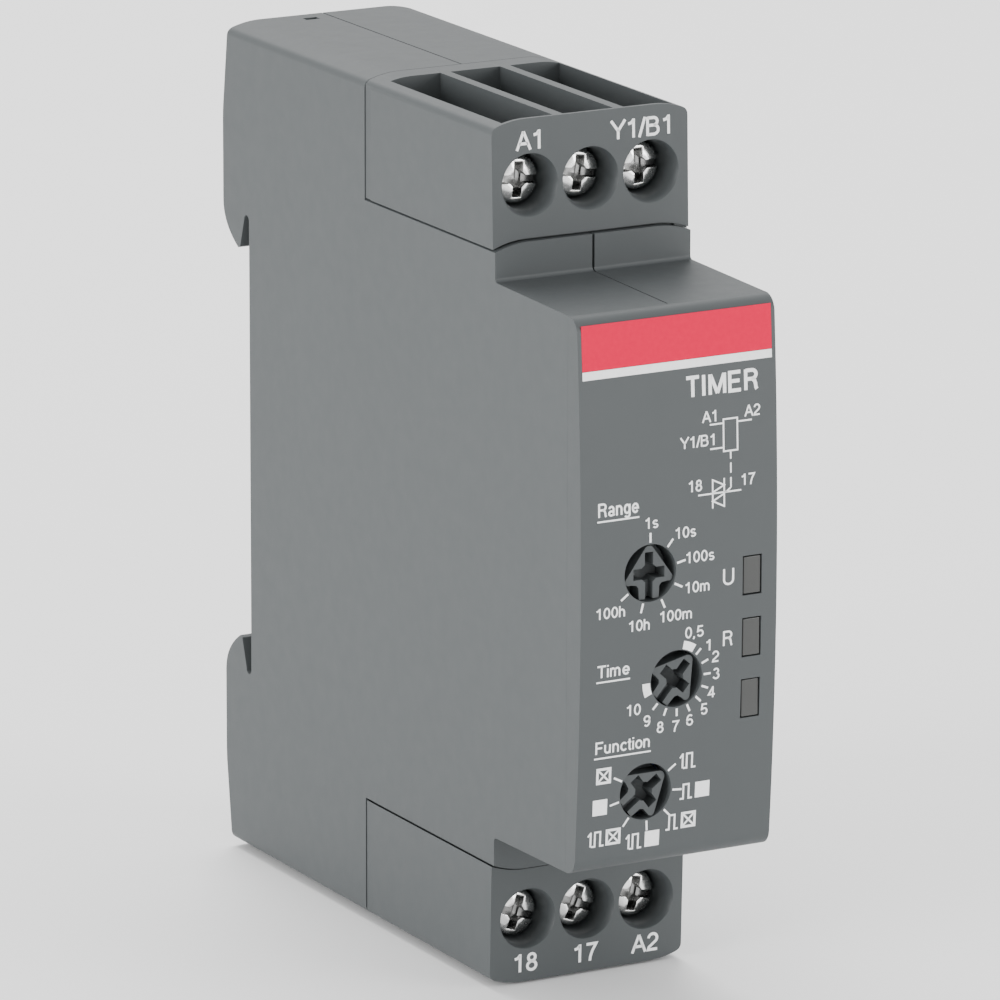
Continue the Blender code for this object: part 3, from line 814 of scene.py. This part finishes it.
# Letter shapes as pen strokes: capitals are 1 high; the first value is the advance.
ARCH = bow(0.34, 0.41, 0.24, 0.26, 180, 0) + [(0.58, 0.0)]
GLYPHS = {
    "0": (0.78, [oval(0.39, 0.5, 0.26, 0.44)]),
    "1": (0.78, [[(0.46, 1.0), (0.46, 0.0)], [(0.14, 0.75), (0.32, 0.79), (0.43, 0.92)]]),
    "2": (0.78, [bow(0.39, 0.69, 0.26, 0.25, 175, -38)
                 + [(0.16, 0.2), (0.12, 0.06), (0.67, 0.06)]]),
    "3": (0.78, [bow(0.38, 0.73, 0.22, 0.21, 160, -85), bow(0.38, 0.29, 0.27, 0.23, 85, -165)]),
    "4": (0.78, [[(0.52, 1.0), (0.52, 0.0)], [(0.5, 0.92), (0.1, 0.28), (0.72, 0.28)]]),
    "5": (0.78, [[(0.64, 0.94), (0.2, 0.94), (0.14, 0.5)]
                 + bow(0.38, 0.32, 0.27, 0.26, 130, -155)]),
    "6": (0.78, [oval(0.39, 0.31, 0.26, 0.25), bow(0.41, 0.5, 0.28, 0.44, 50, 205)]),
    "7": (0.78, [[(0.08, 0.94), (0.67, 0.94), (0.44, 0.55), (0.33, 0.25), (0.3, 0.0)]]),
    "8": (0.78, [oval(0.39, 0.74, 0.21, 0.2), oval(0.39, 0.285, 0.26, 0.235)]),
    "9": (0.78, [oval(0.39, 0.69, 0.26, 0.25), bow(0.37, 0.5, 0.28, 0.44, 25, -130)]),
    ",": (0.39, [[(0.17, 0.12), (0.17, 0.0), (0.1, -0.14)]]),
    "/": (0.39, [[(0.02, -0.02), (0.36, 1.02)]]),
    "A": (0.92, [[(0.06, 0.0), (0.46, 0.98)], [(0.46, 0.98), (0.86, 0.0)],
                 [(0.2, 0.34), (0.72, 0.34)]]),
    "B": (0.93, [[(0.13, 0.0), (0.13, 1.0)],
                 [(0.13, 0.94)] + bow(0.48, 0.74, 0.23, 0.2, 90, -90) + [(0.13, 0.54)],
                 [(0.48, 0.54)] + bow(0.5, 0.3, 0.27, 0.24, 90, -90) + [(0.13, 0.06)]]),
    "E": (0.93, [[(0.8, 0.94), (0.13, 0.94), (0.13, 0.06), (0.82, 0.06)],
                 [(0.13, 0.52), (0.74, 0.52)]]),
    "F": (0.85, [[(0.76, 0.94), (0.13, 0.94), (0.13, 0.0)], [(0.13, 0.5), (0.68, 0.5)]]),
    "I": (0.39, [[(0.19, 0.0), (0.19, 1.0)]]),
    "M": (1.16, [[(0.13, 0.0), (0.13, 0.98)], [(0.16, 0.96), (0.58, 0.04)],
                 [(0.58, 0.04), (1.0, 0.96)], [(1.03, 0.98), (1.03, 0.0)]]),
    "R": (1.0, [[(0.13, 0.0), (0.13, 1.0)],
                [(0.13, 0.94)] + bow(0.52, 0.73, 0.26, 0.21, 90, -90) + [(0.13, 0.52)],
                [(0.5, 0.52), (0.68, 0.42), (0.74, 0.26), (0.76, 0.1), (0.82, 0.0)]]),
    "T": (0.85, [[(0.03, 0.94), (0.82, 0.94)], [(0.425, 0.94), (0.425, 0.0)]]),
    "U": (1.0, [[(0.13, 1.0), (0.13, 0.33)] + bow(0.49, 0.33, 0.36, 0.27, 180, 360)[1:]
                + [(0.85, 1.0)]]),
    "Y": (0.92, [[(0.04, 1.0), (0.46, 0.44)], [(0.88, 1.0), (0.46, 0.44)],
                 [(0.46, 0.48), (0.46, 0.0)]]),
    "a": (0.76, [bow(0.34, 0.5, 0.21, 0.18, 165, 0) + [(0.55, 0.15), (0.62, 0.03)],
                 oval(0.33, 0.2, 0.22, 0.15)]),
    "c": (0.69, [bow(0.37, 0.36, 0.27, 0.31, 40, 320)]),
    "e": (0.76, [[(0.12, 0.37), (0.64, 0.37)] + bow(0.38, 0.37, 0.26, 0.31, 10, 325)]),
    "g": (0.78, [oval(0.35, 0.38, 0.24, 0.3),
                 [(0.6, 0.72), (0.6, 0.0)] + bow(0.36, -0.02, 0.24, 0.19, 0, -150)]),
    "h": (0.78, [[(0.12, 1.0), (0.12, 0.0)], ARCH]),
    "i": (0.31, [[(0.15, 0.72), (0.15, 0.0)], [(0.15, 1.0), (0.15, 0.87)]]),
    "m": (1.16, [[(0.12, 0.72), (0.12, 0.0)], bow(0.31, 0.44, 0.2, 0.23, 180, 0) + [(0.51, 0.0)],
                 bow(0.72, 0.44, 0.21, 0.23, 180, 0) + [(0.93, 0.0)]]),
    "n": (0.78, [[(0.12, 0.72), (0.12, 0.0)], ARCH]),
    "o": (0.78, [oval(0.39, 0.36, 0.27, 0.31)]),
    "s": (0.7, [bow(0.34, 0.52, 0.2, 0.155, 25, 255) + bow(0.35, 0.21, 0.21, 0.155, 75, -155)]),
    "t": (0.4, [[(0.2, 0.93), (0.2, 0.16), (0.25, 0.06), (0.37, 0.05)],
                [(0.03, 0.67), (0.36, 0.67)]]),
    "u": (0.78, [[(0.12, 0.72), (0.12, 0.28)] + bow(0.35, 0.28, 0.23, 0.23, 180, 345),
                 [(0.58, 0.72), (0.58, 0.0)]]),
}
INK = 0.006                   # half the thickness of a print
PRINT_LIFT = 0.012            # how far a print stands before the face under it
PEN = 0.13                    # width of a plain line
MITRE_LIMIT = 0.45            # keeps sharp corners of a line from growing into spikes
RIBBON_CORNERS = ((1, 1), (1, -1), (-1, -1), (-1, 1))


def stroke(points, width):
    """A flat ribbon of even width through points in the XZ plane, with mitred corners."""
    closed = (Vector(points[0]) - Vector(points[-1])).length < TINY
    path = []
    for point in points[:-1] if closed else points:
        if not path or (Vector(point) - path[-1]).length > MERGE_DISTANCE:
            path.append(Vector(point))
    count = len(path)
    bm = bmesh.new()
    rows = []
    for index, point in enumerate(path):
        legs = []
        if closed or index > 0:
            legs.append((point - path[index - 1]).normalized())
        if closed or index < count - 1:
            legs.append((path[(index + 1) % count] - point).normalized())
        along = sum(legs, Vector((0, 0))).normalized()
        across = Vector((-along.y, along.x))
        leg_across = Vector((-legs[0].y, legs[0].x))
        reach = across * (width / 2 / max(MITRE_LIMIT, across.dot(leg_across)))
        row = []
        for side, lift in RIBBON_CORNERS:
            corner = (point.x + side * reach.x, lift * INK, point.y + side * reach.y)
            row.append(bm.verts.new(corner))
        rows.append(row)
    following = rows[1:] + rows[:1] if closed else rows[1:]
    for first, second in zip(rows, following):
        for corner in range(4):
            after = (corner + 1) % 4
            bm.faces.new((first[corner], first[after], second[after], second[corner]))
    if not closed:
        bm.faces.new(rows[0])
        bm.faces.new(list(reversed(rows[-1])))
    return new_mesh(bm)


def merged(meshes):
    bm = bmesh.new()
    for mesh in meshes:
        bm.from_mesh(mesh)
    result = bpy.data.meshes.new("merged")
    bm.to_mesh(result)
    bm.free()
    return result


def laid_on(mesh, surface):
    """Press flat print onto a face whose Y at a height is surface(z)."""
    for vertex in mesh.vertices:
        vertex.co.y += surface(vertex.co.z) - PRINT_LIFT
    return mesh


def polar(center, radius, angle):
    """A point at an angle clockwise from straight up."""
    turn = math.radians(angle)
    return center[0] + radius * math.sin(turn), center[1] + radius * math.cos(turn)


def write(words, x, z, size, surface=front_y, weight=0.15, stretch=1.0, tracking=0.0, anchor=0.5):
    """Words centred on z; an anchor of 0, 0.5 or 1 puts x at their left, middle or right."""
    advances = [GLYPHS[letter][0] + tracking for letter in words]
    start = x - anchor * sum(advances) * size * stretch
    meshes = []
    for letter, advance in zip(words, advances):
        for points in GLYPHS[letter][1]:
            placed = [(start + u * size * stretch, z + (v - 0.5) * size) for u, v in points]
            meshes.append(laid_on(stroke(placed, weight * size), surface))
        start += advance * size * stretch
    return meshes


def line(points, width=PEN):
    return laid_on(stroke(points, width), front_y)


def ring(points):
    """The same points with the first one again at the end, which closes a line."""
    return list(points) + [points[0]]


def patch(outline):
    """A filled shape on the front plate."""
    return laid_on(prism("XZ", outline, -INK, INK), front_y)


def band(low_z, high_z, name, look):
    """A strip printed across the plate, following its bow."""
    half = HALF_WIDTH - 0.36
    steps = 10
    bm = bmesh.new()
    rows = []
    for step in range(steps + 1):
        z = low_z + (high_z - low_z) * step / steps
        rows.append([bm.verts.new((side * half, front_y(z) - lift, z))
                     for lift in (PRINT_LIFT, 0.0) for side in (-1, 1)])
    for first, second in zip(rows, rows[1:]):
        for a, b in ((0, 1), (1, 3), (3, 2), (2, 0)):
            bm.faces.new((first[a], first[b], second[b], second[a]))
    for row in (rows[0], rows[-1]):
        bm.faces.new((row[0], row[1], row[3], row[2]))
    add_piece(name, new_mesh(bm), BODY, look)


def heading(words, left, base, size, stretch):
    """A heading with a rule under it."""
    rule_z = base - 0.36
    width = sum(GLYPHS[letter][0] for letter in words) * size * stretch
    meshes = write(words, left, base + size / 2, size, stretch=stretch, anchor=0)
    return meshes + [line([(left - 0.05, rule_z), (left + width, rule_z)])]


def tick(center, angle, end, width=0.17):
    """A mark of a scale, from near the edge of its knob outwards."""
    return line([polar(center, 2.43, angle), polar(center, end, angle)], width)


def range_print():
    center = KNOB_AXES["range_knob"]
    labels = (("1s", -2.5, 5.58), ("10s", 0.52, 4.47), ("100s", 1.82, 2.4), ("10m", 1.62, 0.0),
              ("100m", -0.28, -2.04), ("10h", -3.55, -2.45), ("100h", -6.1, -1.12))
    pitch = 39.0
    meshes = heading("Range", -7.25, 6.55, 1.08, 0.83)
    for index, (words, x, z) in enumerate(labels):
        meshes += write(words, x, z, 0.88)
        meshes.append(tick(center, pitch * index, 3.2))
    return meshes


def time_print():
    """Marks for 1 to 9 and, for the two ends of the scale, a filled sector each."""
    center = KNOB_AXES["time_knob"]
    labels = (("0,5", 1.38, -3.62), ("1", 2.7, -4.85), ("2", 3.32, -5.85), ("3", 3.4, -7.25),
              ("4", 3.02, -8.7), ("5", 2.4, -10.0), ("6", 1.12, -10.72), ("7", -0.15, -11.05),
              ("8", -1.52, -10.95), ("9", -2.72, -10.28), ("10", -3.95, -9.22))
    pitch = 22.3
    first = 44.5
    reach = 3.05
    meshes = heading("Time", -7.25, -6.25, 0.98, 0.97)
    for index, (words, x, z) in enumerate(labels):
        meshes += write(words, x, z, 0.9)
        if 0 < index < len(labels) - 1:
            meshes.append(tick(center, first + pitch * (index - 1), reach))
    for start, end in ((12, 34), (247, 269)):
        turns = [(end - start) * step / 4 for step in range(5)]
        inner = [polar(center, 2.38, start + turn) for turn in turns]
        outer = [polar(center, reach, end - turn) for turn in turns]
        meshes.append(patch(inner + outer))
    return meshes


def square(x, z, half):
    return [(x - half, z - half), (x + half, z - half), (x + half, z + half), (x - half, z + half)]


def crossed_box(x, z):
    corners = square(x, z, 0.56)
    diagonals = (corners[0::2], corners[1::2])
    return [line(ring(corners), 0.2)] + [line(diagonal, 0.15) for diagonal in diagonals]


def full_box(x, z):
    return [patch(square(x, z, 0.64))]


def pulse(x, z):
    """A square pulse; x is its left foot and z its base line."""
    top = z + 1.15
    rise = x + 0.3
    fall = x + 0.78
    return [line([(x, z), (rise, z), (rise, top), (fall, top), (fall, z), (x + 1.1, z)], 0.15)]


def one(x, z):
    """The figure 1 before a pulse."""
    return [line([(x, z + 1.2), (x, z)], 0.15),
            line([(x - 0.25, z + 0.85), (x - 0.02, z + 1.12)], 0.14)]


def function_print():
    center = KNOB_AXES["function_knob"]
    places = 7
    pitch = 40.6
    meshes = heading("Function", -7.3, -12.42, 0.98, 0.95)
    for index in range(places):
        meshes.append(tick(center, KNOB_REST["function_knob"] + pitch * index, 3.25, 0.16))
    meshes += one(0.6, -14.6) + pulse(0.66, -14.6)
    meshes += pulse(0.45, -17.12) + full_box(2.45, -16.55)
    meshes += pulse(-0.72, -19.5) + crossed_box(1.3, -18.9)
    meshes += one(-4.0, -20.6) + pulse(-3.95, -20.6) + full_box(-1.92, -20.0)
    meshes += one(-7.42, -19.95) + pulse(-7.35, -19.95) + crossed_box(-5.42, -19.35)
    meshes += full_box(-6.7, -16.8) + crossed_box(-6.45, -14.25)
    return meshes


def diagram_print():
    """Supply block over a dashed line and the solid-state output."""
    axis = 4.58
    left = axis - 0.62
    right = axis + 0.62
    feed = 12.68
    control = 10.76
    output = 7.23
    near, far = 2.95, 3.98
    paths = [ring([(left, 12.98), (right, 12.98), (right, 10.45), (left, 10.45)]),
             [(2.75, feed), (left, feed)],
             [(right, feed), (6.5, feed)],
             [(2.75, control), (left, control)]]
    paths += [[(axis, high), (axis, low)] for high, low in ((10.4, 9.8), (9.5, 8.7), (8.35, 7.55))]
    paths += [[(axis, 7.55), (axis - 0.4, 7.25), (axis - 0.6, 7.25)],
              [(1.65, output), (5.5, output)],
              ring([(near, 8.3), (far, 7.8), (near, 7.32)]),
              [(far, 8.35), (far, 7.25)],
              ring([(far, 7.12), (near, 6.62), (far, 6.12)]),
              [(near, 7.2), (near, 6.05)]]
    meshes = [line(path) for path in paths]
    labels = (("A1", 2.8, 13.35), ("A2", 6.58, 13.42), ("Y1/B1", 1.72, 11.5), ("18", 1.38, 8.02),
              ("17", 6.1, 8.02))
    for words, x, z in labels:
        meshes += write(words, x, z, 0.9, stretch=0.95)
    return meshes


def front_print():
    meshes = range_print() + time_print() + function_print() + diagram_print()
    for letter, x, z, size in (("U", 4.4, 0.42, 1.32), ("R", 4.42, -4.52, 1.2)):
        meshes += write(letter, x, z, size, weight=0.13, stretch=0.86)
    meshes += write("TIMER", 7.35, 15.85, 1.62, weight=0.18, stretch=0.88, tracking=0.07, anchor=1)
    add_piece("front_print_white", merged(meshes), BODY, "white")
    band(18.05, 21.6, "front_band_red", "red")
    band(17.36, 18.02, "front_band_white", "white")


CAP_LABELS = {
    "top": (("A1", -5.35, 33.28), ("Y1/B1", 4.65, 33.3)),
    "bottom": (("18", -5.55, -33.42), ("17", -0.1, -33.42), ("A2", 5.42, -33.42)),
}


def cap_face(z):
    """Y of the leaning front face of a cap."""
    share = (abs(z) - CAP_FOOT_Z) / (TOP + BEYOND - CAP_FOOT_Z)
    return CAP_FOOT_Y + CAP_SLOPE * share


def cap_print(level):
    meshes = []
    for words, x, z in CAP_LABELS[level]:
        meshes += write(words, x, z, 1.5, surface=cap_face, weight=0.155)
    add_piece("cap_print_" + level, merged(meshes), BODY, "white")


# ---- rear latch and spring


def rail_latch():
    """Sliding foot: lip behind the rail, a rib in its guide, a slot for a screwdriver."""
    low, high = limits("rail_latch")
    front = 0.3
    lip = [(front, low.z), (3.3, low.z), (3.3, -16.27), (1.9, -14.4), (1.3, -14.4), (1.3, -15.6),
           (front, -15.6)]
    rib = [(2.9, low.z), (high.y, low.z), (high.y, -17.6), (2.9, -15.8)]
    spring_room = block((-1.7, 1.7), (-1, 3.2), (-31.1, -20.0))
    driver_slot = block((-2.2, 2.2), (-1, 6), (-34.0, -32.4))
    steps = [("UNION", prism("YZ", rib, -3.0, 3.0)), ("DIFFERENCE", spring_room),
             ("DIFFERENCE", driver_slot)]
    mesh = boolean(prism("YZ", lip, low.x, high.x), steps)
    outside = high.y + 0.1
    for groove in range(4):
        z = -22.0 - 1.1 * groove
        notch = [(outside, z), (high.y - 0.25, z - 0.3), (outside, z - 0.6)]
        mesh = cut(mesh, prism("YZ", notch, -2.4, 2.4))
    mesh = rounded(mesh, 0.15, segments=2)
    node = "rail_latch"
    add_piece(node + "_slider", mesh, node, "latch", [node])


def latch_spring():
    """Coil spring with closed ends."""
    low, high = limits("latch_spring")
    x = (low.x + high.x) / 2
    y = (low.y + high.y) / 2
    wire = 0.2
    radius = (high.x - low.x) / 2 - wire
    bottom = low.z + wire
    height = high.z - low.z - 2 * wire
    turns = 7.5
    steps = int(turns * 24)
    curve = bpy.data.curves.new("latch_spring_coil", "CURVE")
    curve.dimensions = "3D"
    curve.bevel_depth = 0.19
    curve.bevel_resolution = 3
    curve.use_fill_caps = True
    spline = curve.splines.new("POLY")
    spline.points.add(steps)
    for step in range(steps + 1):
        t = step / steps
        angle = 2 * math.pi * turns * t
        rise = t + 0.07 * math.sin(2 * math.pi * (t - 0.5))
        around = (x + radius * math.cos(angle), y + radius * math.sin(angle))
        spline.points[step].co = (*around, bottom + height * rise, 1)
    mesh = applied(linked("coil", curve))
    node = "latch_spring"
    spring = add_piece(node + "_coil", mesh, BODY, "spring", [node])
    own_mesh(spring)


# ---- pieces kept from CAD

# Material and the starts of the names of the nodes that get it.
KEPT = {
    "nickel": ("contact_bar",),
    "board": ("main_board", "front_board"),
    "blue": ("range_switch_body", "time_potentiometer_body", "function_switch_body",
             "film_capacitor", "varistor"),
    "black": ("board_header", "bridge_rectifier", "microcontroller", "output_triac"),
    "sleeve": ("supply_capacitor", "power_resistor"),
    "led": ("led_",),
}


def dress_kept_nodes():
    for name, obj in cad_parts.items():
        for look, starts in KEPT.items():
            if not name.startswith(starts):
                continue
            for material_slot in obj.material_slots:
                material_slot.material = MATERIALS[look]
            if not obj.material_slots:
                obj.data.materials.append(MATERIALS[look])


# ---- stage


def camera():
    """Long lens, slightly from above and from the left of the front; metres and degrees."""
    azimuth, elevation, roll = (math.radians(angle) for angle in (-28.907, 14.544, 0.13))
    distance, right_shift, up_shift = 0.69299, 0.012927, -0.005384
    level = math.cos(elevation)
    back = Vector((math.sin(azimuth) * level, -math.cos(azimuth) * level, math.sin(elevation)))
    flat_right = Vector((0, 0, 1)).cross(back).normalized()
    flat_up = back.cross(flat_right)
    right = math.cos(roll) * flat_right + math.sin(roll) * flat_up
    up = math.cos(roll) * flat_up - math.sin(roll) * flat_right
    place = back * distance + right * right_shift + up * up_shift
    data = bpy.data.cameras.new("camera")
    data.lens = 301.02
    data.sensor_width = 36
    data.clip_start = 0.01
    data.clip_end = 20
    obj = linked("camera", data)
    rotation = Matrix((right, up, back)).transposed()
    obj.matrix_world = Matrix.Translation(place) @ rotation.to_4x4()
    bpy.context.scene.camera = obj


def area_light(name, place, side, power):
    """A square light of a side in metres, turned towards the front half of the object."""
    data = bpy.data.lights.new(name, "AREA")
    data.shape = "RECTANGLE"
    data.size = side
    data.size_y = side
    data.energy = power
    obj = linked(name, data)
    obj.location = place
    direction = Vector((0, -0.02, 0)) - Vector(place)
    obj.rotation_euler = direction.to_track_quat("-Z", "Y").to_euler()


def stage():
    """Pale floor just under the object, a white sky and three soft lights."""
    paper = Shader("floor_paper", (0.9, 0.9, 0.9), 0.9)
    paper.vary_color(paper.noise(scale=40, detail=2), dark=0.99, light=1.0)
    bm = bmesh.new()
    bmesh.ops.create_grid(bm, x_segments=1, y_segments=1, size=3.0)
    bmesh.ops.translate(bm, vec=(0, 0, -TOP * MM - 0.0002), verts=bm.verts)
    mesh = new_mesh(bm)
    mesh.materials.append(paper.material)
    floor = linked("floor", mesh)
    world = bpy.data.worlds.new("studio")
    world.use_nodes = True
    background = world.node_tree.nodes["Background"]
    background.inputs["Color"].default_value = (1, 1, 1, 1)
    background.inputs["Strength"].default_value = 1.1
    bpy.context.scene.world = world
    area_light("top_back", (0.1, 0.45, 0.8), side=0.6, power=10.0)
    area_light("left_low", (-0.85, -0.15, 0.1), side=0.5, power=9.2)
    area_light("front_right", (0.6, -0.7, 0.15), side=0.5, power=5.8)


camera()
housing_shell("housing_left_shell", -1)
housing_shell("housing_right_shell", 1)
cap_shell("terminal_cap_top", False)
cap_shell("terminal_cap_bottom", True)
front_plate()
windows()
for knob_node in KNOB_AXES:
    knob(knob_node)
for pole_level in ("top", "bottom"):
    for pole_side in POLES:
        screw(pole_level, pole_side)
        cage(pole_level, pole_side)
front_print()
for cap_level in CAP_LABELS:
    cap_print(cap_level)
rail_latch()
latch_spring()
dress_kept_nodes()
stage()
